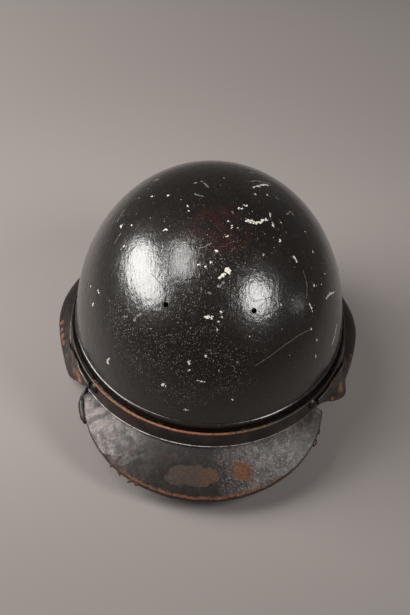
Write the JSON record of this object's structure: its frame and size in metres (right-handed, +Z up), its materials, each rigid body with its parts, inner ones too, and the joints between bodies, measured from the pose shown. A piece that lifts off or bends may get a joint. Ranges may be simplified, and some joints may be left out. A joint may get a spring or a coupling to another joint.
{
  "type": "police motorcycle helmet",
  "caption": "Domed lacquered crash helmet with leather band, peak, ear and neck curtain, riveted chin strap with buckle, and laced leather liner.",
  "frame": {"origin": "on the ground under the middle of the helmet's length, centred from side to side, with the helmet standing on the bottom edge of its leather curtain", "axes": "+Z up; the wearer looks along -Y, so +Y runs from the peak to the neck flap; +X is the wearer's left"},
  "size_m": [0.266, 0.3109, 0.2],
  "materials": {
    "lacquered_shell": "gloss",
    "dark_leather": "worn satin",
    "peak_leather": "scuffed matt",
    "tan_leather": "matt",
    "strap_leather": "satin",
    "felt": "matt",
    "cork": "matt",
    "cord": "matt",
    "dark_rivet": "tarnished",
    "brass": "worn satin",
    "steel": "dull"
  },
  "bodies": {
    "helmet": {"shell": "lacquered_shell", "rim_bead": "lacquered_shell", "outer_band": "dark_leather", "band_joint_rivets": "brass", "curtain_heading": "dark_leather", "peak_top": "peak_leather", "peak_lining": "tan_leather", "strap_rivet_left": "dark_rivet", "strap_rivet_right": "dark_rivet", "rivet_washer_left": "brass", "rivet_washer_right": "brass", "headband_frame": "tan_leather", "frame_spacers": "cork", "liner_rivets": "steel", "liner_tongues": "tan_leather", "liner_lace": "cord", "sweatband": "tan_leather", "crown_pad": "felt"},
    "ear_flap_left": {"ear_flap_left": "dark_leather", "ear_lining_left": "felt"},
    "ear_flap_right": {"ear_flap_right": "dark_leather", "ear_lining_right": "felt"},
    "neck_flap": {"neck_flap": "dark_leather", "neck_lining": "felt"},
    "chin_strap_left": {"chin_strap_left": "strap_leather"},
    "chin_strap_right": {"chin_strap_right": "strap_leather"},
    "buckle": {"buckle_frame": "brass"},
    "prong": {"buckle_prong": "brass"},
    "keeper": {"keeper_loop": "strap_leather"}
  },
  "joints": [
    {"name": "ear_flap_left_swing", "type": "hinge", "parent": "helmet", "child": "ear_flap_left", "pos_m": [0.1204, 0.01155, 0.048], "axis": [0, -1, 0], "range_deg": [0, 35]},
    {"name": "ear_flap_right_swing", "type": "hinge", "parent": "helmet", "child": "ear_flap_right", "pos_m": [-0.1204, 0.01155, 0.048], "axis": [0, 1, 0], "range_deg": [0, 35]},
    {"name": "neck_flap_swing", "type": "hinge", "parent": "helmet", "child": "neck_flap", "pos_m": [0, 0.14595, 0.048], "axis": [1, 0, 0], "range_deg": [0, 35]},
    {"name": "chin_strap_left_swing", "type": "hinge", "parent": "helmet", "child": "chin_strap_left", "pos_m": [0.08705, -0.07274, 0.058], "axis": [-0.7925, 0.6098, 0], "range_deg": [0, 70]},
    {"name": "chin_strap_right_swing", "type": "hinge", "parent": "helmet", "child": "chin_strap_right", "pos_m": [-0.08705, -0.07274, 0.058], "axis": [-0.7925, -0.6098, 0], "range_deg": [0, 70]},
    {"name": "buckle_tilt", "type": "hinge", "parent": "chin_strap_left", "child": "buckle", "pos_m": [0.1105, 0.01522, 0.01996], "axis": [0, 0.3987, 0.9171], "range_deg": [-15, 75]},
    {"name": "prong_tilt", "type": "hinge", "parent": "buckle", "child": "prong", "pos_m": [0.1105, 0.01522, 0.01996], "axis": [0, 0.3987, 0.9171], "range_deg": [0, 75]},
    {"name": "keeper_slide", "type": "slide", "parent": "chin_strap_left", "child": "keeper", "axis": [0.2202, 0.8902, -0.3987], "range_m": [-0.004, 0.004]}
  ]
}
